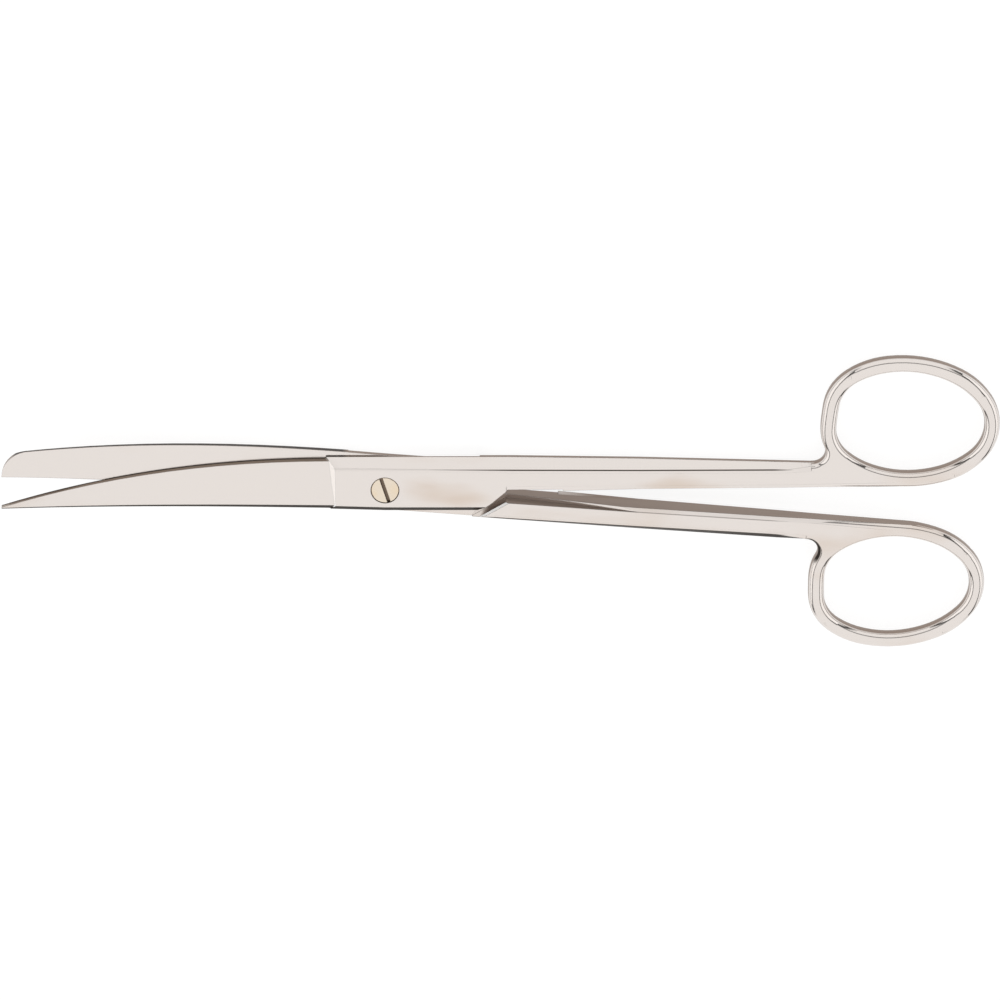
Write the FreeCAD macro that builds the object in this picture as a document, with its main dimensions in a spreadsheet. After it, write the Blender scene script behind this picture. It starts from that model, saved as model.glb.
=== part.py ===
"""Operating scissors, sharp and blunt points, blades curved on the flat.

Two forged halves cross in a half-lap box and turn on one slotted screw.
Frame: the screw's axis is Z and the box rests on z = 0. The tips point along -X, the finger rings
along +X, and the blades curve up towards +Z. Lengths are in millimetres and angles in degrees.

Each half is drawn closed, in its own frame: its handle lies on one side of the closing line y = 0.
The sharp half has its handle on +Y and its outer face up. The blunt half has the same handle turned
over about the X axis. The rest pose holds the two halves open by half of rest_opening each.
"""

import FreeCAD, Part
import Sketcher
import math
import os
from FreeCAD import Placement, Rotation, Vector

SIZES = {
    # the pair
    "rest_opening": 4.66,
    "box_thickness": 5.2,
    "lap_gap": 0.1,
    "closing_gap": 0.05,
    # blade curve on the flat
    "curve_start": 10.6,
    "tip_reach": 74.6,
    "tip_rise": 8.5,
    # box and its shoulders
    "box_end": 9.75,
    "box_end_slope": 1.85,
    "box_end_foot": 0.2,
    "shoulder_reach": 23.8,
    "shoulder_bevel": 0.4,
    "corner_reach": 24.1,
    "corner_angle": 42.0,
    "stop_gap": 0.05,
    # shank, box end to crotch and on along the ring
    "taper_start": 25.0,
    "ramp_end": 50.0,
    "ramp_thickness": 4.75,
    "crotch_reach": 83.6,
    "chamfer_before_crotch": 5.6,
    "web_past_crotch": 17.4,
    "chamfer_end_thickness": 3.7,
    "ring_thickness": 3.3,
    "outer_land": 0.8,
    "flat_at_box_end": 4.25,
    "flat_at_taper": 3.75,
    "flat_at_ramp": 3.6,
    "flat_at_chamfer_end": 3.35,
    "outer_bevel_width": 0.55,
    "outer_bevel_drop": 0.2,
    "inner_bevel_width": 0.8,
    "inner_bevel_drop": 0.35,
    "flare": 0.6,
    "flare_level": 1.3,
    "chamfer_end_width": 5.15,
    "crotch_width": 5.0,
    # finger ring, an egg-shaped path with a flattened round section
    "ring_past_crotch": 19.2,
    "ring_tilt": -5.65,
    "ring_half_length": 15.98,
    "ring_half_width": 11.2,
    "ring_swell": 0.5,
    "ring_shift": 8.05,
    "ring_band": 3.1,
    "ring_round": 1.35,
    "ring_flat": 0.2,
    "crotch_radius": 2.4,
    # screw
    "head_diameter": 5.5,
    "head_thickness": 1.1,
    "head_fit": 0.06,
    "shank_diameter": 3.5,
    "shank_fit": 0.05,
    "thread_fit": 0.02,
    "slot_width": 0.7,
    "slot_depth": 0.65,
    "slot_angle": 109.0,
    "screw_edge": 0.15,
    # sharp half: value at the blade's root, at its tip, and the power of the curve between them
    "sharp_shoulder_angle": 46.0,
    "sharp_outer": 6.25,
    "sharp_outer_mid": 5.9,
    "sharp_box_back": 4.9,
    "sharp_box_chamfer": 1.2,
    "sharp_edge_root": 5.95,
    "sharp_edge_tip": -0.15,
    "sharp_edge_power": 2.3,
    "sharp_back_root": -4.55,
    "sharp_back_tip": -0.85,
    "sharp_back_power": 1.7,
    "sharp_back_thickness": 2.4,
    "sharp_edge_thickness": 1.05,
    "sharp_tip_thickness": 0.6,
    "sharp_bevel": 0.36,
    # blunt half
    "blunt_shoulder_angle": 36.0,
    "blunt_outer": 5.4,
    "blunt_outer_mid": 5.35,
    "blunt_box_back": 6.35,
    "blunt_box_chamfer": 1.6,
    "blunt_edge_root": 3.9,
    "blunt_edge_tip": 0.25,
    "blunt_edge_power": 1.1,
    "blunt_back_root": -6.45,
    "blunt_back_tip": -4.7,
    "blunt_back_power": 3.0,
    "blunt_back_thickness": 2.4,
    "blunt_edge_thickness": 1.05,
    "blunt_tip_thickness": 1.0,
    "blunt_bevel": 0.36,
    "blunt_tip_radius": 5.0,
}

# What follows the crotch when it moves
DERIVED = {
    "chamfer_end": "crotch_reach - chamfer_before_crotch",
    "web_end": "crotch_reach + web_past_crotch",
    "ring_along": "crotch_reach + ring_past_crotch",
}

# Shares of the blade's length at which its sections stand
BLADE_SHARES = [0.0, 0.2, 0.4, 0.6, 0.8, 1.0]
# How far cutting tools run past what they cut, and blanks past the faces ground on them
PAST = 10.0
GRIND = 0.4
# Pairs of arcs that draw the whole of the ring's outline
RING_PAIRS = 8
# How far the ring's plate keeps inside the shank's sides
INSET = 0.05

doc = FreeCAD.newDocument("operating_scissors")
sheet = doc.addObject("Spreadsheet::Sheet", "Sizes")
formulas = {alias: f"={formula}" for alias, formula in DERIVED.items()}
for row, (alias, value) in enumerate({**SIZES, **formulas}.items(), start=1):
    sheet.set(f"A{row}", alias)
    sheet.set(f"B{row}", str(value))
    sheet.setAlias(f"B{row}", alias)
doc.recompute()


def size(alias):
    """A driving dimension as a number, for the shapes made in code."""
    return float(getattr(sheet, alias))


def value_of(expression):
    """What an expression on the sheet comes to now."""
    return float(sheet.evalExpression(expression.replace("Sizes.", "")))


MID = "Sizes.box_thickness / 2"


# Sketches

def origin_feature(body, role):
    return next(f for f in body.Origin.OriginFeatures if f.Role == role)


def new_sketch(body, name, plane, offset):
    sketch = body.newObject("Sketcher::SketchObject", name)
    sketch.AttachmentSupport = [(origin_feature(body, plane), "")]
    sketch.MapMode = "FlatFace"
    sketch.setExpression("AttachmentOffset.Base.z", offset)
    return sketch


def pin(sketch, geometry, point, corner, label):
    """Hold one point of the sketch at a pair of expressions, measured from the sketch's origin."""
    for kind, expression in zip(("DistanceX", "DistanceY"), corner):
        number = sketch.addConstraint(
            Sketcher.Constraint(kind, -1, 1, geometry, point, value_of(expression)))
        sketch.renameConstraint(number, f"{kind}_{label}")
        sketch.setExpression(f"Constraints.{kind}_{label}", expression)


def polygon(body, name, plane, offset, corners):
    """A closed polygon whose corners are pairs of expressions."""
    sketch = new_sketch(body, name, plane, offset)
    points = [Vector(value_of(a), value_of(b), 0) for a, b in corners]
    count = len(points)
    for i in range(count):
        sketch.addGeometry(Part.LineSegment(points[i], points[(i + 1) % count]), False)
    for i in range(count):
        sketch.addConstraint(Sketcher.Constraint("Coincident", i, 2, (i + 1) % count, 1))
    for i, corner in enumerate(corners):
        pin(sketch, i, 1, corner, str(i))
    return sketch


# Features

def loft(body, name, sections, ruled):
    feature = body.newObject("PartDesign::AdditiveLoft", name)
    feature.Profile = sections[0]
    feature.Sections = sections[1:]
    feature.Ruled = ruled
    doc.recompute()
    return feature


def pocket(body, name, sketch, depth, reversed_side=False, both_sides=False):
    """Cut a sketch's outline out of the body, and check that something was cut."""
    before = body.Shape.Volume
    feature = body.newObject("PartDesign::Pocket", name)
    feature.Profile = sketch
    feature.setExpression("Length", depth)
    feature.Reversed = reversed_side
    feature.Midplane = both_sides
    doc.recompute()
    if not body.Shape.Volume < before:
        raise RuntimeError(f"{name} cuts nothing")
    return feature


def signed(hand, expression):
    return expression if hand > 0 else f"-({expression})"


def level(hand, expression):
    """A height on the outer side of the mid-plane: up on the sharp half, down on the blunt one."""
    return f"{MID} + ({signed(hand, expression)})"


# Handle: a bar with a wide chamfer outside and a narrow bevel inside

def shank_section(body, hand, name, at, thickness, outer, flat, bevel, inner_bevel, flare):
    half = f"({thickness}) / 2"
    width, drop = bevel
    inner_width, inner_drop = inner_bevel
    bevel_out = f"{flat} + {width}"
    drop_out = f"{half} - {drop}"
    drop_in = f"({half} - {inner_drop})"
    inner = "Sizes.closing_gap"
    inner_flat = f"Sizes.closing_gap + {inner_width}"
    land = f"min(Sizes.outer_land / 2; {half} * 0.5)"
    corners = [
        (outer, f"-{land}"),
        (outer, land),
        (bevel_out, drop_out),
        (flat, half),
        (inner_flat, half),
        (f"{inner} - ({flare})", drop_in),
        (inner, f"min(Sizes.flare_level; {drop_in} - {half} * 0.1)"),
        (inner, f"-({drop_in})"),
        (inner_flat, f"-({half})"),
        (flat, f"-({half})"),
        (bevel_out, f"-({drop_out})"),
    ]
    placed = [(signed(hand, y), level(hand, z)) for y, z in corners]
    return polygon(body, name, "YZ_Plane", at, placed)


def add_shank(body, hand, kind):
    """Box's outer side, shank and, past the crotch, the web along which it turns into the ring."""
    ground = ("Sizes.outer_bevel_width", "Sizes.outer_bevel_drop")
    inside = ("Sizes.inner_bevel_width", "Sizes.inner_bevel_drop")
    # Where the ring begins, the chamfer has become the ring's own rounding
    radius = "Sizes.ring_round"
    rounding = f"{radius} * (1 - sin(45deg))"
    rounded = (f"({radius} - {rounding})", f"({rounding})")
    rounded_flat = f"Sizes.crotch_width - {radius}"
    # and where the web ends, the inner bevel has become what the flat leaves of that rounding
    left = f"({radius} - Sizes.ring_flat)"
    faded = (left, f"({radius} - sqrt({radius} ^ 2 - {left} ^ 2))")
    stations = [
        ("-(Sizes.box_end + Sizes.box_end_slope)", "Sizes.box_thickness", f"Sizes.{kind}_outer",
         "Sizes.flat_at_box_end", ground, inside, "0"),
        ("Sizes.taper_start", "Sizes.box_thickness", f"Sizes.{kind}_outer", "Sizes.flat_at_taper",
         ground, inside, "Sizes.flare"),
        ("Sizes.ramp_end", "Sizes.ramp_thickness", f"Sizes.{kind}_outer_mid", "Sizes.flat_at_ramp",
         ground, inside, "0"),
        ("Sizes.chamfer_end", "Sizes.chamfer_end_thickness", "Sizes.chamfer_end_width",
         "Sizes.flat_at_chamfer_end", ground, inside, "0"),
        ("Sizes.crotch_reach", "Sizes.ring_thickness", "Sizes.crotch_width", rounded_flat, rounded,
         inside, "0"),
        ("Sizes.web_end", "Sizes.ring_thickness", "Sizes.crotch_width", rounded_flat, rounded,
         faded, "0"),
    ]
    sections = [shank_section(body, hand, f"{kind}_shank_{i}", *station)
                for i, station in enumerate(stations)]
    return loft(body, f"{kind}_shank", sections, ruled=True)


# Box: the half-lap under the screw, with its corner cut to meet the other half's shoulder

def add_box(body, hand, kind):
    half = "Sizes.box_thickness / 2"
    chamfer = f"Sizes.{kind}_box_chamfer"
    overlap = "-(Sizes.closing_gap + Sizes.inner_bevel_width)"
    sections = []
    stations = [("-(Sizes.box_end + Sizes.box_end_slope)", f"-Sizes.{kind}_back_root"),
                ("0", f"Sizes.{kind}_box_back"),
                ("Sizes.shoulder_reach", f"Sizes.{kind}_box_back")]
    for i, (at, back) in enumerate(stations):
        corners = [
            (overlap, "0"),
            (back, "0"),
            (back, f"{half} - {chamfer}"),
            (f"{back} - {chamfer}", half),
            (overlap, half),
        ]
        placed = [(signed(-hand, y), level(hand, z)) for y, z in corners]
        sections.append(polygon(body, f"{kind}_box_{i}", "YZ_Plane", at, placed))
    loft(body, f"{kind}_box", sections, ruled=True)

    cut_corner(body, hand, kind, "corner", "Sizes.corner_reach", "Sizes.corner_angle * 1deg")
    if hand > 0:
        # As the rings close, the end of this corner meets the blunt half's shoulder
        slant = "Sizes.blunt_shoulder_angle * 1deg"
        inside = "(Sizes.closing_gap + Sizes.inner_bevel_width)"
        reach = f"Sizes.shoulder_reach + {inside} / tan({slant}) - Sizes.stop_gap / sin({slant})"
        cut_corner(body, hand, kind, "stop", reach, slant)

    # The box ends in a short slope down to the blade
    corners = [
        ("-(Sizes.box_end + Sizes.box_end_slope)", level(hand, "Sizes.box_end_foot")),
        ("-Sizes.box_end", level(hand, half)),
        ("-Sizes.box_end", level(hand, f"{half} + {PAST}")),
        (f"-(Sizes.box_end + {PAST})", level(hand, f"{half} + {PAST}")),
        (f"-(Sizes.box_end + {PAST})", level(hand, "Sizes.box_end_foot")),
    ]
    sketch = polygon(body, f"{kind}_box_end", "XZ_Plane", "0", corners)
    pocket(body, f"{kind}_box_end_cut", sketch, f"4 * {PAST}", both_sides=True)


def cut_corner(body, hand, kind, name, reach, slant):
    """Cut the box beyond a line that leaves the closing line at reach and runs back at a slant."""
    below = f"(Sizes.{kind}_box_back + {PAST})"
    gap = "Sizes.closing_gap"
    corners = [
        (f"{reach} - {below} / tan({slant})", below),
        (f"{reach} + {gap} / tan({slant})", f"-{gap}"),
        (f"{reach} + {PAST}", f"-{gap}"),
        (f"{reach} + {PAST}", below),
    ]
    placed = [(x, signed(-hand, y)) for x, y in corners]
    sketch = polygon(body, f"{kind}_{name}", "XY_Plane", MID, placed)
    pocket(body, f"{kind}_{name}_cut", sketch, f"2 * {PAST}", both_sides=True)


def add_lap(body, hand, kind):
    """Cut the half that belongs to the other piece, up to a slanted shoulder, and the ramp after it."""
    reach = "Sizes.shoulder_reach"
    inside = "(Sizes.closing_gap + Sizes.inner_bevel_width)"
    run = f"{PAST} / tan(Sizes.{kind}_shoulder_angle * 1deg)"
    far = f"(Sizes.{kind}_box_back + {PAST})"
    corners = [
        ("-1", f"-{far}"),
        (reach, f"-{far}"),
        (reach, inside),
        (f"{reach} - {run}", f"{inside} + {PAST}"),
        ("-1", f"{inside} + {PAST}"),
    ]
    placed = [(x, signed(hand, y)) for x, y in corners]
    sketch = polygon(body, f"{kind}_lap", "XY_Plane", level(hand, "Sizes.lap_gap / 2"), placed)
    pocket(body, f"{kind}_lap_cut", sketch, f"2 * {PAST}", reversed_side=hand < 0)

    # From the shoulder's inner end the relief runs out along the shank in a straight ramp
    floor = "Sizes.lap_gap / 2"
    corners = [
        (f"{reach} - 0.05", level(hand, floor)),
        ("Sizes.ramp_end", level(hand, "-Sizes.ramp_thickness / 2")),
        ("Sizes.ramp_end", level(hand, f"-Sizes.ramp_thickness / 2 - {PAST}")),
        (f"{reach} - 0.05", level(hand, f"-Sizes.ramp_thickness / 2 - {PAST}")),
    ]
    offset = signed(-hand, inside)
    sketch = polygon(body, f"{kind}_ramp", "XZ_Plane", offset, corners)
    pocket(body, f"{kind}_ramp_cut", sketch, f"2 * {PAST}", reversed_side=hand > 0)


# Blade: sections along a curve that rises towards the tip, ground inside to a bowl about the screw

def blade_section(body, hand, kind, number, share):
    def along(name, tip=None):
        root = f"Sizes.{kind}_{name}_root"
        end = f"Sizes.{kind}_{name}_tip"
        power = f"Sizes.{kind}_{name}_power"
        return f"({root} + ({end} - {root}) * {share} ^ {power})"

    def tapered(name):
        root = f"Sizes.{kind}_{name}_thickness"
        return f"({root} + (Sizes.{kind}_tip_thickness - {root}) * {share})"

    at = f"(Sizes.box_end - 2) + (Sizes.tip_reach - Sizes.box_end + 2) * {share}"
    run = f"max({at} - Sizes.curve_start; 0)"
    length = "(Sizes.tip_reach - Sizes.curve_start)"
    radius = f"(({length} ^ 2 + Sizes.tip_rise ^ 2) / (2 * Sizes.tip_rise))"
    inner = f"{radius} - sqrt({radius} ^ 2 - ({run}) ^ 2)"
    edge = along("edge")
    back = along("back")
    thick_edge = tapered("edge")
    thick_back = tapered("back")
    bevel = f"Sizes.{kind}_bevel"
    corners = [
        (f"{edge} + {bevel} * {GRIND} / {thick_edge}", f"-{GRIND}"),
        (f"{edge} - {bevel}", thick_edge),
        (f"{back} + {thick_back} / 2", thick_back),
        (back, f"{thick_back} / 2"),
        (back, f"-{GRIND}"),
    ]
    placed = [(signed(hand, y), f"{MID} + {inner} + ({signed(hand, z)})") for y, z in corners]
    return polygon(body, f"{kind}_blade_{number}", "YZ_Plane", f"-({at})", placed)


def add_blade(body, hand, kind):
    sections = [blade_section(body, hand, kind, i, share) for i, share in enumerate(BLADE_SHARES)]
    return loft(body, f"{kind}_blade", sections, ruled=False)


def grind_inside(body, hand, kind):
    """Grind the inner face to a surface turned about the screw, so that the blades pass at any angle."""
    start = size("curve_start")
    reach = size("tip_reach")
    rise = size("tip_rise")
    run = reach - start
    radius = (run ** 2 + rise ** 2) / (2 * rise)
    floor = value_of(level(hand, "Sizes.lap_gap / 2"))
    end = -(reach + PAST)
    beyond = floor - 3 * PAST * hand
    sketch = new_sketch(body, f"{kind}_bowl", "XZ_Plane", "0")
    centre = Vector(-start, floor + radius, 0)
    end_angle = -math.pi / 2 - math.asin((reach + PAST - start) / radius)
    arc_end = centre + Vector(radius * math.cos(end_angle), radius * math.sin(end_angle), 0)
    corners = [Vector(0, floor, 0), Vector(-start, floor, 0), arc_end, Vector(end, beyond, 0),
               Vector(0, beyond, 0)]
    sketch.addGeometry(Part.LineSegment(corners[0], corners[1]), False)
    circle = Part.Circle(centre, Vector(0, 0, 1), radius)
    sketch.addGeometry(Part.ArcOfCircle(circle, end_angle, -math.pi / 2), False)
    sketch.addGeometry(Part.LineSegment(corners[2], corners[3]), False)
    sketch.addGeometry(Part.LineSegment(corners[3], corners[4]), False)
    sketch.addGeometry(Part.LineSegment(corners[4], corners[0]), False)
    sketch.addConstraint(Sketcher.Constraint("Coincident", 0, 2, 1, 2))
    sketch.addConstraint(Sketcher.Constraint("Coincident", 1, 1, 2, 1))
    sketch.addConstraint(Sketcher.Constraint("Coincident", 2, 2, 3, 1))
    sketch.addConstraint(Sketcher.Constraint("Coincident", 3, 2, 4, 1))
    sketch.addConstraint(Sketcher.Constraint("Coincident", 4, 2, 0, 1))
    height = level(hand, "Sizes.lap_gap / 2")
    length = "(Sizes.tip_reach - Sizes.curve_start)"
    rounding = f"({length} ^ 2 + Sizes.tip_rise ^ 2) / (2 * Sizes.tip_rise)"
    past = f"{height} - ({3 * PAST * hand})"
    pin(sketch, 0, 1, ("0", height), "screw")
    pin(sketch, 0, 2, ("-Sizes.curve_start", height), "start")
    pin(sketch, 1, 3, ("-Sizes.curve_start", f"{height} + {rounding}"), "centre")
    pin(sketch, 2, 2, (f"-(Sizes.tip_reach + {PAST})", past), "far")
    pin(sketch, 3, 2, ("0", past), "near")
    number = sketch.addConstraint(Sketcher.Constraint("DistanceX", -1, 1, 1, 1, end))
    sketch.renameConstraint(number, "reach")
    sketch.setExpression("Constraints.reach", f"-(Sizes.tip_reach + {PAST})")
    before = body.Shape.Volume
    groove = body.newObject("PartDesign::Groove", f"{kind}_grind")
    groove.Profile = sketch
    groove.ReferenceAxis = (origin_feature(body, "Z_Axis"), [""])
    groove.Angle = 180
    groove.Midplane = True
    doc.recompute()
    if not body.Shape.Volume < before:
        raise RuntimeError("the grinding of the inner face cuts nothing")


# Finger ring

def egg(angle):
    """The ring's path at an angle: the point, from the ring's centre, and the heading there."""
    length = size("ring_half_length")
    width = size("ring_half_width")
    swell = size("ring_swell")
    shift = size("ring_shift")
    sine, cosine = math.sin(angle), math.cos(angle)
    point = Vector(length * cosine - shift * sine ** 2, width * sine * (1 + swell * cosine), 0)
    heading = Vector(-length * sine - 2 * shift * sine * cosine,
                     width * (cosine + swell * (cosine ** 2 - sine ** 2)), 0)
    heading.normalize()
    tilt = Rotation(Vector(0, 0, 1), size("ring_tilt"))
    return tilt.multVec(point), tilt.multVec(heading)


def egg_point(angle, offset):
    """A point beside the ring's path, from the ring's centre; offset is positive outwards."""
    point, heading = egg(angle)
    return point + Vector(heading.y, -heading.x, 0) * offset


def solve(function, low, high):
    """The argument at which a function that changes sign between low and high is zero."""
    sign = function(low) > 0
    for _ in range(60):
        middle = (low + high) / 2
        if (function(middle) > 0) == sign:
            low = middle
        else:
            high = middle
    return (low + high) / 2


def lowest_angle():
    """Where the ring's outer line runs parallel to the closing line, next to it."""
    band = size("ring_band") / 2
    step = 1e-4

    def climb(angle):
        return egg_point(angle + step, band).y - egg_point(angle - step, band).y

    return solve(climb, -2.4, -0.6)


def ring_centre(line):
    """The ring's centre, with its outer line touching a line beside the closing line."""
    lowest = egg_point(lowest_angle(), size("ring_band") / 2)
    return Vector(size("ring_along"), line - lowest.y, 0)


def corner_arc(start, corner, end):
    """The arc that touches both legs of a corner at their ends; the legs are equally long."""
    middle = (start + end) * 0.5
    half = (end - start).Length / 2
    height = (corner - middle).Length
    rise = half * math.tan(math.atan2(height, half) / 2)
    return Part.Arc(start, middle + (corner - middle) * (rise / height), end).toShape()


def arc_pair(start, start_heading, end, end_heading):
    """Two arcs that meet smoothly, and leave start and reach end along the given headings."""
    span = end - start
    along = span.dot(start_heading + end_heading)
    spread = 2 * (1 - start_heading.dot(end_heading))
    leg = (math.sqrt(along ** 2 + spread * span.dot(span)) - along) / spread
    first = start + start_heading * leg
    second = end - end_heading * leg
    joint = (first + second) * 0.5
    return [corner_arc(start, first, joint), corner_arc(joint, second, end)]


def beside_path(centre, start, end, offset):
    """Arcs, each touching the next, beside the ring's path from one angle to another."""
    count = math.ceil(RING_PAIRS * (end - start) / (2 * math.pi) - 0.01)
    angles = [start + (end - start) * i / count for i in range(count + 1)]
    places = [(centre + egg_point(angle, offset), egg(angle)[1]) for angle in angles]
    pairs = [arc_pair(*here, *there) for here, there in zip(places, places[1:])]
    return sum(pairs, [])


def prism(wire, low, high):
    face = Part.Face(wire)
    solid = face.extrude(Vector(0, 0, high - low))
    solid.translate(Vector(0, 0, low))
    return solid


def ring_outline(centre, line, side):
    """Outline of ring and crotch: line is its distance from the closing line, side its outer width."""
    band = size("ring_band") / 2
    radius = size("crotch_radius")
    start = size("crotch_reach")
    lowest = lowest_angle()

    def above(angle):
        return (centre + egg_point(angle, band + radius)).y - (side + radius)

    meeting = solve(above, math.pi, math.pi + 1.2)
    hub = centre + egg_point(meeting, band + radius)
    touch = centre + egg_point(meeting, band)
    foot = Vector(hub.x, side, 0)
    if foot.x < start:
        raise RuntimeError("the crotch starts before the shank's rounded end")
    between = (foot + touch) * 0.5 - hub
    between.normalize()
    bottom = centre + egg_point(lowest, band)
    low_corner, high_corner = Vector(start, line, 0), Vector(start, side, 0)
    edges = [Part.Arc(touch, hub + between * radius, foot).toShape(),
             Part.LineSegment(foot, high_corner).toShape(),
             Part.LineSegment(high_corner, low_corner).toShape(),
             Part.LineSegment(low_corner, bottom).toShape()]
    return Part.Wire(beside_path(centre, lowest, meeting, band) + edges)


def ring_shape(hand):
    """The ring with its crotch, its free edges rounded, ground flat along the closing line."""
    gap = size("closing_gap")
    line = gap - size("ring_flat")
    centre = ring_centre(line)
    half = size("ring_thickness") / 2
    solid = prism(ring_outline(centre, line, size("crotch_width") - INSET), -half, half)
    hole = Part.Wire(beside_path(centre, 0, 2 * math.pi, -size("ring_band") / 2))
    solid = solid.cut(prism(hole, -half - PAST, half + PAST))
    start = size("crotch_reach")
    free = [edge for edge in solid.Edges
            if edge.BoundBox.ZLength < 1e-3 and edge.BoundBox.XMax > start + 1e-3]
    solid = solid.makeFillet(size("ring_round"), free)
    beyond = Part.makeBox(8 * PAST, PAST, 2 * PAST, Vector(start - PAST, gap - PAST, -PAST))
    return turned(solid.cut(beyond), hand)


def ring_clearance(hand):
    """What the shank's web loses inside the ring's path."""
    centre = ring_centre(size("closing_gap") - size("ring_flat"))
    return turned(prism(Part.Wire(beside_path(centre, 0, 2 * math.pi, 0)), -PAST, PAST), hand)


def shoulder_bevel(hand, kind):
    """A prism that breaks the edge between the lap's shoulder and the half's outer face."""
    slant = math.radians(size(f"{kind}_shoulder_angle"))
    bevel = size("shoulder_bevel")
    along = Vector(-math.cos(slant), math.sin(slant), 0)
    into = Vector(math.sin(slant), math.cos(slant), 0)
    inside = size("closing_gap") + size("inner_bevel_width")
    corner = Vector(size("shoulder_reach"), inside, -size("box_thickness") / 2) - along * 1.5
    ends = [into * (bevel + 1) + Vector(0, 0, -1), into * -1 + Vector(0, 0, bevel + 1),
            into * -1 + Vector(0, 0, -1)]
    wire = Part.makePolygon([corner + end for end in ends + ends[:1]])
    return turned(Part.Face(wire).extrude(along * PAST), hand)


def turned(shape, hand):
    """Lift a shape drawn about the mid-plane, and turn it over for the blunt half."""
    shape = shape.copy()
    if hand < 0:
        shape.rotate(Vector(0, 0, 0), Vector(1, 0, 0), 180)
    shape.translate(Vector(0, 0, size("box_thickness") / 2))
    return shape


# Holes and tip

def cylinder(name, radius, height, base, at=("0", "0")):
    feature = doc.addObject("Part::Cylinder", name)
    feature.setExpression("Radius", radius)
    feature.setExpression("Height", height)
    feature.setExpression("Placement.Base.x", at[0])
    feature.setExpression("Placement.Base.y", at[1])
    feature.setExpression("Placement.Base.z", base)
    return feature


def box(name, lengths, base):
    feature = doc.addObject("Part::Box", name)
    for side, expression in zip(("Length", "Width", "Height"), lengths):
        feature.setExpression(side, expression)
    for axis, expression in zip("xyz", base):
        feature.setExpression(f"Placement.Base.{axis}", expression)
    return feature


def shape_feature(name, shape):
    feature = doc.addObject("Part::Feature", name)
    feature.Shape = shape
    return feature


def combine(kind, name, first, second):
    feature = doc.addObject(kind, name)
    feature.Base = first
    feature.Tool = second
    feature.Refine = True
    doc.recompute()
    return feature


def fused(name, parts):
    feature = doc.addObject("Part::MultiFuse", name)
    feature.Shapes = parts
    feature.Refine = True
    doc.recompute()
    return feature


def open_by_half(feature, hand):
    """Stand a half in the rest pose: each is turned by half the opening about the screw."""
    feature.Placement = Placement(Vector(0, 0, 0), Rotation(Vector(0, 0, 1), 0))
    feature.setExpression("Placement.Rotation.Angle", f"{hand} * Sizes.rest_opening / 2 * 1deg")
    doc.recompute()


def forged_half(kind, hand):
    body = doc.addObject("PartDesign::Body", f"{kind}_forging")
    add_shank(body, hand, kind)
    add_box(body, hand, kind)
    add_blade(body, hand, kind)
    add_lap(body, hand, kind)
    grind_inside(body, hand, kind)
    waste = fused(f"{kind}_waste", [
        shape_feature(f"{kind}_ring_clearance", ring_clearance(hand)),
        shape_feature(f"{kind}_shoulder_bevel", shoulder_bevel(hand, kind)),
    ])
    trimmed = combine("Part::Cut", f"{kind}_trimmed", body, waste)
    ring = shape_feature(f"{kind}_ring", ring_shape(hand))
    return fused(f"{kind}_blank", [trimmed, ring])


def make_sharp_half():
    blank = forged_half("sharp", 1)
    bore = cylinder("sharp_bore", "Sizes.shank_diameter / 2 + Sizes.shank_fit",
                    "Sizes.box_thickness", "0")
    seat = cylinder("sharp_seat", "Sizes.head_diameter / 2 + Sizes.head_fit",
                    f"Sizes.head_thickness + Sizes.head_fit + {PAST}",
                    "Sizes.box_thickness - Sizes.head_thickness - Sizes.head_fit")
    half = combine("Part::Cut", "sharp_half", blank, fused("sharp_holes", [bore, seat]))
    open_by_half(half, 1)
    return half


def make_blunt_half():
    blank = forged_half("blunt", -1)
    bore = cylinder("blunt_bore", "Sizes.shank_diameter / 2 + Sizes.thread_fit",
                    "Sizes.box_thickness", f"-{PAST} / 10")
    # The tip's back corner is rounded off: what lies past a cylinder's wall goes
    radius = "Sizes.blunt_tip_radius"
    root = "(Sizes.box_end - 2)"
    share = f"(1 - {radius} / (Sizes.tip_reach - {root}))"
    back = (f"(-Sizes.blunt_back_root - (Sizes.blunt_back_tip - Sizes.blunt_back_root)"
            f" * {share} ^ Sizes.blunt_back_power)")
    corner = box("tip_corner", (f"{radius} + 1", f"{radius} + 1", f"4 * {PAST}"),
                 ("-(Sizes.tip_reach + 1)", f"{back} - {radius}", f"-{PAST}"))
    post = cylinder("tip_post", radius, f"4 * {PAST}", f"-{PAST}",
                    (f"-(Sizes.tip_reach - {radius})", f"{back} - {radius}"))
    waste = combine("Part::Cut", "tip_waste", corner, post)
    half = combine("Part::Cut", "blunt_half", blank, fused("blunt_holes", [bore, waste]))
    open_by_half(half, -1)
    return half


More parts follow.
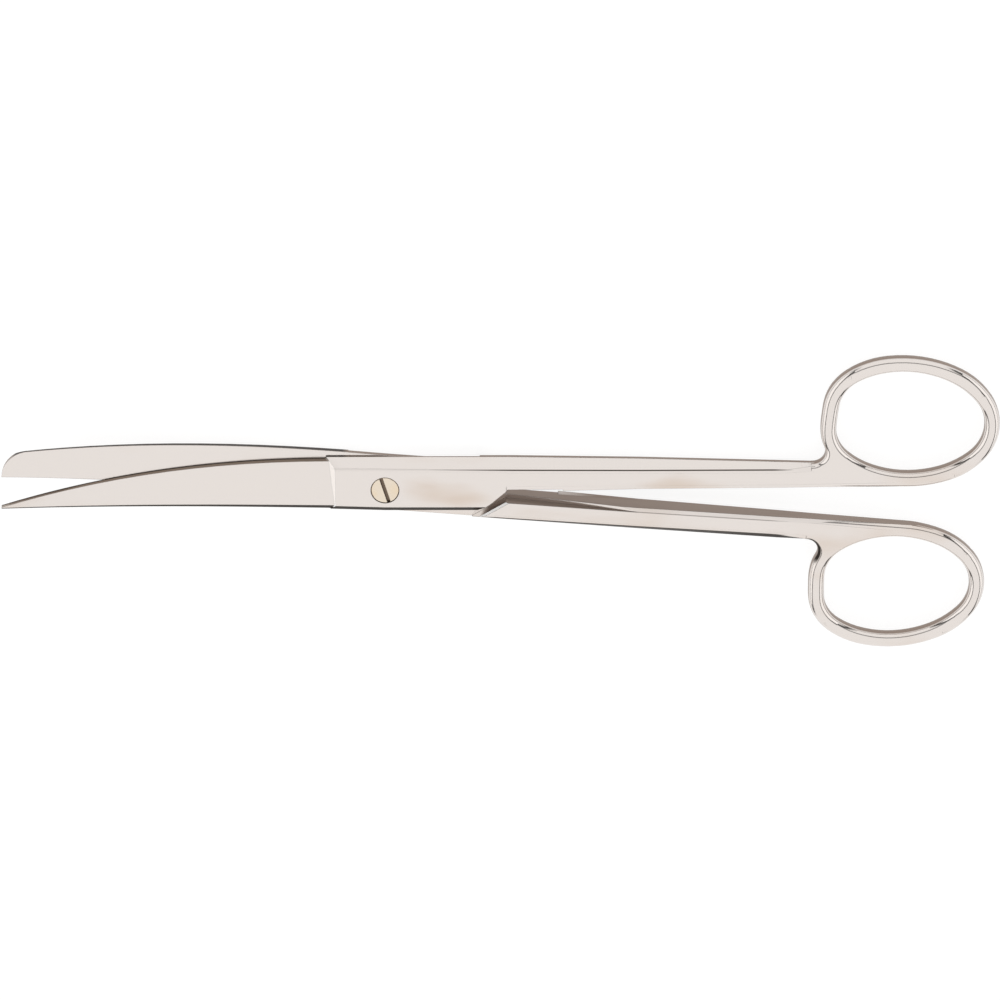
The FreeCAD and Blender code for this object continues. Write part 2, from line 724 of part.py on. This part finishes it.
def make_pivot_screw():
    """A turned screw: flush slotted head, plain shank, riveted end flush with the underside."""
    body = doc.addObject("PartDesign::Body", "screw_body")
    head = "Sizes.head_diameter / 2"
    shank = "Sizes.shank_diameter / 2"
    top = "Sizes.box_thickness"
    under = "Sizes.box_thickness - Sizes.head_thickness"
    edge = "Sizes.screw_edge"
    corners = [
        ("0", "0"),
        (f"{shank} - {edge}", "0"),
        (shank, edge),
        (shank, under),
        (head, under),
        (head, f"{top} - {edge}"),
        (f"{head} - {edge}", top),
        ("0", top),
    ]
    profile = polygon(body, "screw_profile", "XZ_Plane", "0", corners)
    turning = body.newObject("PartDesign::Revolution", "screw_turning")
    turning.Profile = profile
    turning.ReferenceAxis = (origin_feature(body, "Z_Axis"), [""])
    turning.Angle = 360
    doc.recompute()
    half_slot = "Sizes.slot_width / 2"
    corners = [
        (f"-({head} + 1)", f"-{half_slot}"),
        (f"{head} + 1", f"-{half_slot}"),
        (f"{head} + 1", half_slot),
        (f"-({head} + 1)", half_slot),
    ]
    sketch = polygon(body, "screw_slot", "XY_Plane", top, corners)
    pocket(body, "screw_slot_cut", sketch, "Sizes.slot_depth")
    body.Label = "pivot_screw"
    body.Placement = Placement(Vector(0, 0, 0), Rotation(Vector(0, 0, 1), 0))
    body.setExpression("Placement.Rotation.Angle", "Sizes.slot_angle * 1deg")
    doc.recompute()
    return body


pieces = {
    "sharp_half": make_sharp_half(),
    "blunt_half": make_blunt_half(),
    "pivot_screw": make_pivot_screw(),
}

for item in doc.Objects:
    if "Invalid" in item.State or "Error" in item.State:
        raise RuntimeError(f"{item.Name} failed: {item.State}")
for name, piece in pieces.items():
    piece.Label = name
    shape = piece.Shape
    if shape.isNull() or not shape.isValid() or len(shape.Solids) != 1:
        raise RuntimeError(f"{name} isn't one valid solid")

os.makedirs("parts", exist_ok=True)
for name, piece in pieces.items():
    piece.Shape.exportStep(f"parts/{name}.step")
    print(name, "volume", round(piece.Shape.Volume, 1), "faces", len(piece.Shape.Faces))
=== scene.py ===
"""The looks of the operating scissors: satin and polished steel on a white table.

Lengths are in metres, in the CAD frame: the screw's axis is Z, the tips point along -X and the
sharp half's ring is on +Y.
"""

import math
import bpy
from mathutils import Matrix, Vector

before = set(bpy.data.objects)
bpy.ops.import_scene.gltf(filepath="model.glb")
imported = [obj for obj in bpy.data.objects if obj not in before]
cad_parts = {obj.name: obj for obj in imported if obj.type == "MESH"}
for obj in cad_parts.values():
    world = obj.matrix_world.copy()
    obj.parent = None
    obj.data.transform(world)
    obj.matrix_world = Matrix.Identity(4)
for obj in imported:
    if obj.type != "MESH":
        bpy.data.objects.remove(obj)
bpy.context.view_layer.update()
scene = bpy.context.scene

# The photograph's camera, relative to the pair: the pair's length lies a little aslant in the picture
PAIR_TURN = math.radians(-2.30)
CAMERA_TILT = math.radians(26.5)
CAMERA_DISTANCE = 0.880
# The point in the middle of the picture, and what one pixel spans there
MIDDLE = Vector((0.02256, -0.00338, 0.0026))
PIXEL = 0.197e-3
PICTURE = 1000
SENSOR = 36
NEAREST_SEEN = 0.01

# Ground edges are slightly rounded; only the shading shows it
EDGE_ROUND = 0.00012
# Within this distance of the cutting edge its bevel gets the painted shadow between the blades
EDGE_REACH = 0.0004
BEVEL_SAMPLES = 6

BRIGHT = (0.735, 0.69, 0.66, 1)
TAN = (0.65, 0.56, 0.49, 1)
# Painted shade on the steep flanks
FLANK_SHADE = (0.27, 0.21, 0.175, 1)
# Painted shade along bends, and the painted shadow at the cutting edge
EDGE_SHADE = (0.05, 0.04, 0.035, 1)
# Painted shade along the ridges
RIDGE_SHADE = (0.075, 0.06, 0.05, 1)
# Painted shade on bevels along -Y, in the ring's hollow and on the box's end slope
DARK_BEVEL_SHADE = (0.04, 0.033, 0.028, 1)
# Painted shade on the sides that face +Y, such as the cutting bevel
CUTTING_BEVEL_SHADE = (0.24, 0.195, 0.16, 1)
# Painted highlight on the bevels that face the tips
BEVEL_HIGHLIGHT = (0.97, 0.96, 0.95, 1)
CHAMPAGNE = (0.755, 0.665, 0.55, 1)
STRAW = (0.78, 0.64, 0.46, 1)
# Painted shade in the screw's slot and on its steep faces
SLOT_SHADE = (0.16, 0.12, 0.09, 1)


# Node helpers

def add(tree, kind):
    return tree.nodes.new(kind)


def link(tree, start, end):
    tree.links.new(start, end)


def ramp(tree, source, start, end, low=0.0, high=1.0, smooth=False):
    """Map a value that lies between start and end onto low to high."""
    node = add(tree, "ShaderNodeMapRange")
    if smooth:
        node.interpolation_type = "SMOOTHSTEP"
    node.inputs["From Min"].default_value = start
    node.inputs["From Max"].default_value = end
    node.inputs["To Min"].default_value = low
    node.inputs["To Max"].default_value = high
    link(tree, source, node.inputs["Value"])
    return node.outputs["Result"]


def math_node(tree, operation, first, second):
    node = add(tree, "ShaderNodeMath")
    node.operation = operation
    for socket, value in zip(node.inputs, (first, second)):
        if isinstance(value, (int, float)):
            socket.default_value = value
        else:
            link(tree, value, socket)
    return node.outputs["Value"]


def size_of(tree, value):
    """A value without its sign."""
    return math_node(tree, "ABSOLUTE", value, 0.0)


def both(tree, first, second):
    """Two masks at once."""
    return math_node(tree, "MULTIPLY", first, second)


def either(tree, *masks):
    """The strongest of some masks."""
    strongest = masks[0]
    for mask in masks[1:]:
        strongest = math_node(tree, "MAXIMUM", strongest, mask)
    return strongest


def band(tree, source, start, end, soft):
    """1 from start to end, with soft edges."""
    rise = ramp(tree, source, start - soft, start + soft, smooth=True)
    fall = ramp(tree, source, end + soft, end - soft, smooth=True)
    return both(tree, rise, fall)


def dot(tree, first, second):
    node = add(tree, "ShaderNodeVectorMath")
    node.operation = "DOT_PRODUCT"
    link(tree, first, node.inputs[0])
    link(tree, second, node.inputs[1])
    return node.outputs["Value"]


def mix_colours(tree, factor, first, second):
    """first where factor is 0 and second where it is 1; each is a colour or a socket."""
    node = add(tree, "ShaderNodeMix")
    node.data_type = "RGBA"
    link(tree, factor, node.inputs["Factor"])
    for name, value in (("A", first), ("B", second)):
        socket = next(i for i in node.inputs if i.name == name and i.type == "RGBA")
        if isinstance(value, tuple):
            socket.default_value = value
        else:
            link(tree, value, socket)
    return next(o for o in node.outputs if o.type == "RGBA")


def noise(tree, coordinates, scale, detail, roughness):
    node = add(tree, "ShaderNodeTexNoise")
    node.inputs["Scale"].default_value = scale
    node.inputs["Detail"].default_value = detail
    node.inputs["Roughness"].default_value = roughness
    link(tree, coordinates, node.inputs["Vector"])
    return node.outputs["Fac"]


def stretched(tree, source, factors):
    node = add(tree, "ShaderNodeMapping")
    node.inputs["Scale"].default_value = factors
    link(tree, source, node.inputs["Vector"])
    return node.outputs["Vector"]


def split(tree, vector):
    node = add(tree, "ShaderNodeSeparateXYZ")
    link(tree, vector, node.inputs[0])
    return node.outputs


def edge_normal(tree, radius):
    """The normal as it would be with the edges rounded by radius."""
    node = add(tree, "ShaderNodeBevel")
    node.samples = BEVEL_SAMPLES
    node.inputs["Radius"].default_value = radius
    return node.outputs["Normal"]


def own_normal(tree, normal):
    """A normal as the piece itself has it, however it is turned."""
    node = add(tree, "ShaderNodeVectorTransform")
    node.vector_type = "NORMAL"
    node.convert_from = "WORLD"
    node.convert_to = "OBJECT"
    link(tree, normal, node.inputs[0])
    return node.outputs[0]


def new_material(name):
    material = bpy.data.materials.new(name)
    material.use_nodes = True
    tree = material.node_tree
    return material, tree, tree.nodes["Principled BSDF"]


# Steel of the halves

# The masks' places. Of those ALONG X and ACROSS it, a triple is (start, end, softness) for band().
# A pair is (where the mask is 0, where it is 1) for ramp(), and may run either way

# Along X: the blades end, the box ends, the polish of the rings sets in
BLADE_ROOT = -0.0076
BOX_END = 0.0248
POLISH_START = 0.080
POLISH_END = 0.092

# Grain and clouds: how the noise is stretched, and its (scale, detail, roughness)
GRAIN_STRETCH = (50.0, 1800.0, 1800.0)
GRAIN = (1.0, 4.0, 0.6)
CLOUD_STRETCH = (30.0, 90.0, 90.0)
CLOUDS = (1.0, 3.0, 0.5)
CLOUD_RISE = (0.54, 0.82)
TINT_ALONG = (0.004, 0.022, 0.006)
TINT_ACROSS = (-0.003, 0.003, 0.002)
TINT_STRENGTH = 0.20

# Leans: one part of the normal, which goes from -1 to 1. The last is for the wide normal
STEEP = (0.50, 0.22)
NEARLY_LEVEL = (0.5, 0.6)
UPWARD = (0.30, 0.42)
TILTED = (0.90, 0.80)
FACING_TIPS = (-0.30, -0.38)
LEANING_TO_TIPS = (0.0, -0.15)
FACING_PLUS_Y = (0.80, 0.88)
FACING_MINUS_Y = (-0.50, -0.64)
LITTLE_MINUS_Y = (-0.45, -0.30)
CUTTING_CORE = (0.36, 0.26)

# Painted highlight on bevels, and the corner that the flanks' painted shade leaves out
HIGHLIGHT_ALONG = (BOX_END + 0.002, BOX_END)
CORNER_ALONG = (0.013, 0.0205, 0.001)
CORNER_ACROSS = (-0.0038, -0.0050)

# Painted shade along bends: the cosine between the rounded normal and the face's own, and the strength
# along the box
BEND = (0.995, 0.955)
BEND_SHADE_ALONG = (BOX_END - 0.012, BOX_END)
BEND_SHADE_STRENGTH = (0.3, 0.95)

# Ridge lines of painted shade: half their width and its softness; Y at the box's end and how it drifts
# along X
LINE_HALF = 0.00011
LINE_SOFT = 0.00003
PLUS_Y_RIDGE = (0.0053, 0.0342)
PLUS_Y_RIDGE_START = (-0.0112, -0.0100)
PLUS_Y_RIDGE_FAINT = (0.008, BOX_END, 0.12, 1.0)
MINUS_Y_RIDGE = (-0.00525, -0.0342)
MINUS_Y_RIDGE_START = (0.019, 0.022)
INNER_RIDGE = (-0.0019, -0.040)
INNER_RIDGE_ALONG = (0.040, 0.082, 0.010)
INNER_RIDGE_STRENGTH = 0.5
RIDGE_END = (POLISH_START, POLISH_START - 0.004)

# Painted shade on bevels along -Y, in the hollow where the ring there leaves its shank, and on the slope at
# the box's end
PLUS_Y_SHADE_ALONG = (BLADE_ROOT, BLADE_ROOT - 0.001)
ON_BOX = (BOX_END - 0.002, BOX_END - 0.004)
OUTER_SIDE = (-0.0026, -0.0030)
DARK_END = (0.090, 0.083)
HOLLOW_ALONG = (0.0820, 0.0885, 0.0005)
HOLLOW_ACROSS = (-0.0130, -0.0055, 0.0008)
SLOPE_ALONG = (-0.0119, -0.0095, 0.0003)
SLOPE_ACROSS = (-0.0040, -0.0044)
DARK_METALLIC = 0.25

# Roughness: what the grain takes off or adds, what the polish takes off and the flanks add
GRAIN_RISE = (0.3, 0.7)
GRAIN_SMOOTHER = 0.03
GRAIN_DULLER = 0.04
POLISH_SMOOTHER = 0.08
FLANK_DULLER = 0.18
BUMP_STRENGTH = 0.03
BUMP_DEPTH = 0.00004


class Half:
    """Where a point of a forged half lies and how it leans there, in the half's own axes."""

    def __init__(self, tree):
        self.tree = tree
        self.where = add(tree, "ShaderNodeTexCoord").outputs["Object"]
        place = split(tree, self.where)
        self.along = place["X"]
        self.across = place["Y"]
        self.rounded = edge_normal(tree, EDGE_ROUND)
        self.lean = split(tree, own_normal(tree, self.rounded))
        self.wide_lean = split(tree, own_normal(tree, edge_normal(tree, EDGE_REACH)))


def clouds_of_tint(half):
    """Faint clouds, strongest on the box behind the screw, where heat has tinted the steel."""
    tree = half.tree
    clouds = noise(tree, stretched(tree, half.where, CLOUD_STRETCH), *CLOUDS)
    tint = both(tree, band(tree, half.along, *TINT_ALONG), band(tree, half.across, *TINT_ACROSS))
    clouds = math_node(tree, "ADD", clouds, math_node(tree, "MULTIPLY", tint, TINT_STRENGTH))
    return ramp(tree, clouds, *CLOUD_RISE, smooth=True)


def highlighted_bevels(half):
    """Painted highlight on bevels that face the tips, on the box and at the shoulder."""
    tree = half.tree
    bevels = both(tree, ramp(tree, half.lean["X"], *FACING_TIPS), ramp(tree, half.along, *HIGHLIGHT_ALONG))
    return both(tree, bevels, ramp(tree, half.lean["Y"], *LITTLE_MINUS_Y))


def shaded_steep_flanks(half):
    """Steep flanks, which get painted shade and are rougher than the ground faces, but not one corner."""
    tree = half.tree
    steep = ramp(tree, size_of(tree, half.lean["Z"]), *STEEP, smooth=True)
    corner = both(tree, band(tree, half.along, *CORNER_ALONG), ramp(tree, half.across, *CORNER_ACROSS))
    return both(tree, steep, math_node(tree, "SUBTRACT", 1.0, corner))


def bend_shade(half):
    """Painted shade along lines where two faces meet at an angle, faint up to the end of the box."""
    tree = half.tree
    face_normal = add(tree, "ShaderNodeNewGeometry").outputs["True Normal"]
    bend = ramp(tree, dot(tree, half.rounded, face_normal), *BEND, smooth=True)
    return both(tree, bend, ramp(tree, half.along, *BEND_SHADE_ALONG, *BEND_SHADE_STRENGTH))


def line(half, start, drift):
    """A thin line along a shank: at the box's end its Y is start, and drift is its slope."""
    tree = half.tree
    middle = math_node(tree, "ADD", math_node(tree, "MULTIPLY", half.along, drift), start - drift * BOX_END)
    distance = size_of(tree, math_node(tree, "SUBTRACT", half.across, middle))
    return ramp(tree, distance, LINE_HALF + LINE_SOFT, LINE_HALF - LINE_SOFT)


def ridge_shade_lines(half):
    """Thin lines of painted shade along each shank's outer ridge, and the inner one on -Y."""
    tree = half.tree
    plus_y = both(tree, line(half, *PLUS_Y_RIDGE), ramp(tree, half.along, *PLUS_Y_RIDGE_START))
    plus_y = both(tree, plus_y, ramp(tree, half.along, *PLUS_Y_RIDGE_FAINT))
    minus_y = both(tree, line(half, *MINUS_Y_RIDGE), ramp(tree, half.along, *MINUS_Y_RIDGE_START))
    inner = both(tree, line(half, *INNER_RIDGE), band(tree, half.along, *INNER_RIDGE_ALONG))
    inner = math_node(tree, "MULTIPLY", inner, INNER_RIDGE_STRENGTH)
    ridges = both(tree, either(tree, plus_y, inner, minus_y), ramp(tree, half.along, *RIDGE_END))
    return both(tree, ridges, ramp(tree, half.lean["Z"], *NEARLY_LEVEL))


def cutting_bevel(half):
    """Painted shade on sides of the blades that face +Y, such as the cutting bevel of the pointed one."""
    tree = half.tree
    return both(tree, ramp(tree, half.lean["Y"], *FACING_PLUS_Y), ramp(tree, half.along, *PLUS_Y_SHADE_ALONG))


def shaded_bevels(half):
    """Painted shade on bevels that face -Y up to the polish, in the ring's hollow and on the slope at the
    box's end.
    """
    tree = half.tree
    outer = either(tree, ramp(tree, half.along, *ON_BOX), ramp(tree, half.across, *OUTER_SIDE))
    outer = both(tree, outer, ramp(tree, half.along, *DARK_END, smooth=True))
    bevels = both(tree, outer, ramp(tree, half.lean["Y"], *FACING_MINUS_Y, smooth=True))
    hollow = both(tree, band(tree, half.along, *HOLLOW_ALONG), band(tree, half.across, *HOLLOW_ACROSS))
    hollow = both(tree, hollow, ramp(tree, half.lean["Z"], *TILTED))
    hollow = both(tree, hollow, ramp(tree, half.lean["X"], *LEANING_TO_TIPS))
    slope = both(tree, band(tree, half.along, *SLOPE_ALONG), ramp(tree, half.across, *SLOPE_ACROSS))
    return both(tree, either(tree, bevels, hollow, slope), ramp(tree, half.lean["Z"], *UPWARD))


def roughness(half, grain, steep, rough):
    tree = half.tree
    satin = ramp(tree, grain, *GRAIN_RISE, rough - GRAIN_SMOOTHER, rough + GRAIN_DULLER)
    smoother = ramp(tree, half.along, POLISH_START, POLISH_END, 0.0, -POLISH_SMOOTHER, smooth=True)
    duller = math_node(tree, "MULTIPLY", steep, FLANK_DULLER)
    return math_node(tree, "ADD", math_node(tree, "ADD", satin, smoother), duller)


def steel(name, bright, cloudy, rough):
    """Satin steel with a fine lengthwise grain, under layers of painted highlight and painted shade from
    the masks above.
    """
    material, tree, shader = new_material(name)
    half = Half(tree)
    steep = shaded_steep_flanks(half)
    cutting = cutting_bevel(half)
    # Painted shadow between the blades, along the cutting edge
    cutting_edge_shadow = both(tree, cutting, ramp(tree, half.wide_lean["Z"], *CUTTING_CORE))
    dark = shaded_bevels(half)
    layers = ((highlighted_bevels(half), BEVEL_HIGHLIGHT), (steep, FLANK_SHADE), (bend_shade(half), EDGE_SHADE),
              (ridge_shade_lines(half), RIDGE_SHADE), (cutting, CUTTING_BEVEL_SHADE), (cutting_edge_shadow, EDGE_SHADE), (dark, DARK_BEVEL_SHADE))
    colour = mix_colours(tree, clouds_of_tint(half), bright, cloudy)
    for mask, paint in layers:
        colour = mix_colours(tree, mask, colour, paint)
    link(tree, colour, shader.inputs["Base Color"])

    grain = noise(tree, stretched(tree, half.where, GRAIN_STRETCH), *GRAIN)
    link(tree, roughness(half, grain, steep, rough), shader.inputs["Roughness"])
    link(tree, ramp(tree, dark, 0.0, 1.0, 1.0, DARK_METALLIC), shader.inputs["Metallic"])
    shader.inputs["Specular IOR Level"].default_value = 0.0
    bump = add(tree, "ShaderNodeBump")
    bump.inputs["Strength"].default_value = BUMP_STRENGTH
    bump.inputs["Distance"].default_value = BUMP_DEPTH
    link(tree, grain, bump.inputs["Height"])
    link(tree, half.rounded, bump.inputs["Normal"])
    link(tree, bump.outputs["Normal"], shader.inputs["Normal"])
    return material


# Steel of the screw

# Heights of the slot's floor and of the head's face, and how far from each the painted shade's blend stops
SLOT_FLOOR = 0.00455
HEAD_FACE = 0.0052
HEIGHT_BLEND = 0.0001
SCREW_CLOUDS = (260.0, 3.0, 0.5)
SCREW_CLOUD_RISE = (0.4, 0.7)
SCREW_STEEP = (0.75, 0.35)
SCREW_ROUGHNESS = (0.3, 0.7, 0.24, 0.32)


def screw_steel():
    """Warmer turned steel, with painted shade in the slot and on its steep faces."""
    material, tree, shader = new_material("screw_steel")
    where = add(tree, "ShaderNodeTexCoord").outputs["Object"]
    height = split(tree, where)["Z"]
    clouds = noise(tree, where, *SCREW_CLOUDS)
    rounded = edge_normal(tree, EDGE_ROUND)
    lean = split(tree, own_normal(tree, rounded))
    colour = mix_colours(tree, ramp(tree, clouds, *SCREW_CLOUD_RISE), CHAMPAGNE, STRAW)
    steep = ramp(tree, size_of(tree, lean["Z"]), *SCREW_STEEP, smooth=True)
    low = ramp(tree, height, HEAD_FACE - HEIGHT_BLEND, SLOT_FLOOR + HEIGHT_BLEND, smooth=True)
    colour = mix_colours(tree, either(tree, steep, low), colour, SLOT_SHADE)
    link(tree, colour, shader.inputs["Base Color"])
    shader.inputs["Metallic"].default_value = 1.0
    link(tree, ramp(tree, clouds, *SCREW_ROUGHNESS), shader.inputs["Roughness"])
    link(tree, rounded, shader.inputs["Normal"])
    return material


forged = steel("forged_steel", BRIGHT, TAN, 0.17)
for name, material in (("sharp_half", forged), ("blunt_half", forged),
                       ("pivot_screw", screw_steel())):
    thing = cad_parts[name]
    thing.data.materials.clear()
    thing.data.materials.append(material)


# Table: white to the camera and in reflections, with a part of the true shadow

TABLE_HALF = 3.0
TABLE_DROP = 0.0002
TABLE_WHITE = 0.95
TABLE_ROUGHNESS = 0.95
# What the background rays get: this much glow, and this much of the light that falls on the table
TABLE_GLOW = 0.80
SHADOW_SHARE = 0.29


def grey(value):
    return (value, value, value, 1)


def background_rays(tree):
    """1 for the rays that see the background: from the camera, off metal and through glass."""
    path = add(tree, "ShaderNodeLightPath")
    return either(tree, path.outputs["Is Camera Ray"], path.outputs["Is Glossy Ray"],
                  path.outputs["Is Transmission Ray"])


def table_material():
    material, tree, shader = new_material("table")
    shader.inputs["Base Color"].default_value = grey(TABLE_WHITE)
    shader.inputs["Roughness"].default_value = TABLE_ROUGHNESS
    shader.inputs["Specular IOR Level"].default_value = 0.0
    shade = add(tree, "ShaderNodeBsdfDiffuse")
    shade.inputs["Color"].default_value = grey(SHADOW_SHARE)
    glow = add(tree, "ShaderNodeEmission")
    glow.inputs["Color"].default_value = grey(1)
    glow.inputs["Strength"].default_value = TABLE_GLOW
    seen = add(tree, "ShaderNodeAddShader")
    link(tree, shade.outputs[0], seen.inputs[0])
    link(tree, glow.outputs[0], seen.inputs[1])
    blend = add(tree, "ShaderNodeMixShader")
    link(tree, background_rays(tree), blend.inputs[0])
    link(tree, shader.outputs[0], blend.inputs[1])
    link(tree, seen.outputs[0], blend.inputs[2])
    link(tree, blend.outputs[0], tree.nodes["Material Output"].inputs["Surface"])
    return material


def make_table():
    h = TABLE_HALF
    mesh = bpy.data.meshes.new("table")
    mesh.from_pydata([(-h, -h, 0), (h, -h, 0), (h, h, 0), (-h, h, 0)], [], [(0, 1, 2, 3)])
    mesh.materials.append(table_material())
    table = bpy.data.objects.new("table", mesh)
    table.location.z = -TABLE_DROP
    scene.collection.objects.link(table)


make_table()


# Light tent

# Bright rows run along the pair, from -Y over the top to +Y, with a dim opening between them for the
# camera. Dark seams part them from the bright wings at both ends of the pair. The rows' places are
# in degrees from straight up, negative towards -Y
NEAR_ROWS = (-94, 25, 3)
FAR_ROWS = (40, 96, 2)
# Where the rows end and the wings start, by a direction's part along X, and the wings' foot by its Z
ROWS_END = (0.62, 0.50)
WINGS_START = (0.66, 0.72)
WINGS_FOOT = (0.05, 0.15)
DARK_SEAM = (0.58, 0.67, 0.03)
ROWS_LIGHT = 0.76
WINGS_LIGHT = 0.95
OPENING_LIGHT = 0.32
SEAM_LEAVES = 0.15
TENT_WHITE = (1.0, 0.99, 0.98, 1)


def light_tent():
    world = bpy.data.worlds.new("studio")
    scene.world = world
    world.use_nodes = True
    tree = world.node_tree
    background = tree.nodes["Background"]
    direction = split(tree, add(tree, "ShaderNodeTexCoord").outputs["Generated"])
    lean = math_node(tree, "ARCTAN2", direction["Y"], direction["Z"])
    lean = math_node(tree, "MULTIPLY", lean, math.degrees(1.0))
    side = size_of(tree, direction["X"])

    rows = math_node(tree, "ADD", band(tree, lean, *NEAR_ROWS), band(tree, lean, *FAR_ROWS))
    rows = both(tree, rows, ramp(tree, side, *ROWS_END, smooth=True))
    wings = both(tree, ramp(tree, side, *WINGS_START, smooth=True),
                 ramp(tree, direction["Z"], *WINGS_FOOT, smooth=True))
    light = math_node(tree, "ADD", math_node(tree, "MULTIPLY", rows, ROWS_LIGHT),
                      math_node(tree, "MULTIPLY", wings, WINGS_LIGHT))
    light = math_node(tree, "ADD", light, OPENING_LIGHT)
    seams = ramp(tree, band(tree, side, *DARK_SEAM), 0.0, 1.0, 1.0, SEAM_LEAVES)
    link(tree, both(tree, light, seams), background.inputs["Strength"])
    background.inputs["Color"].default_value = TENT_WHITE


light_tent()


# Camera, as the photograph was taken

def make_camera():
    spin = Matrix.Rotation(-PAIR_TURN, 4, "Z")
    right = Vector((1, 0, 0))
    up = Vector((0, math.cos(CAMERA_TILT), -math.sin(CAMERA_TILT)))
    back = Vector((0, math.sin(CAMERA_TILT), math.cos(CAMERA_TILT)))
    place = Vector((MIDDLE.x, MIDDLE.y, 0)) + back * CAMERA_DISTANCE
    turn = Matrix((right, up, back)).transposed().to_4x4()
    data = bpy.data.cameras.new("camera")
    data.sensor_width = SENSOR
    data.lens = SENSOR * CAMERA_DISTANCE / (PIXEL * PICTURE)
    data.clip_start = NEAREST_SEEN
    camera = bpy.data.objects.new("camera", data)
    scene.collection.objects.link(camera)
    camera.matrix_world = (Matrix.Translation((0, 0, MIDDLE.z)) @ spin @ Matrix.Translation(place)
                           @ turn)
    scene.camera = camera


make_camera()
scene.view_settings.view_transform = "Standard"
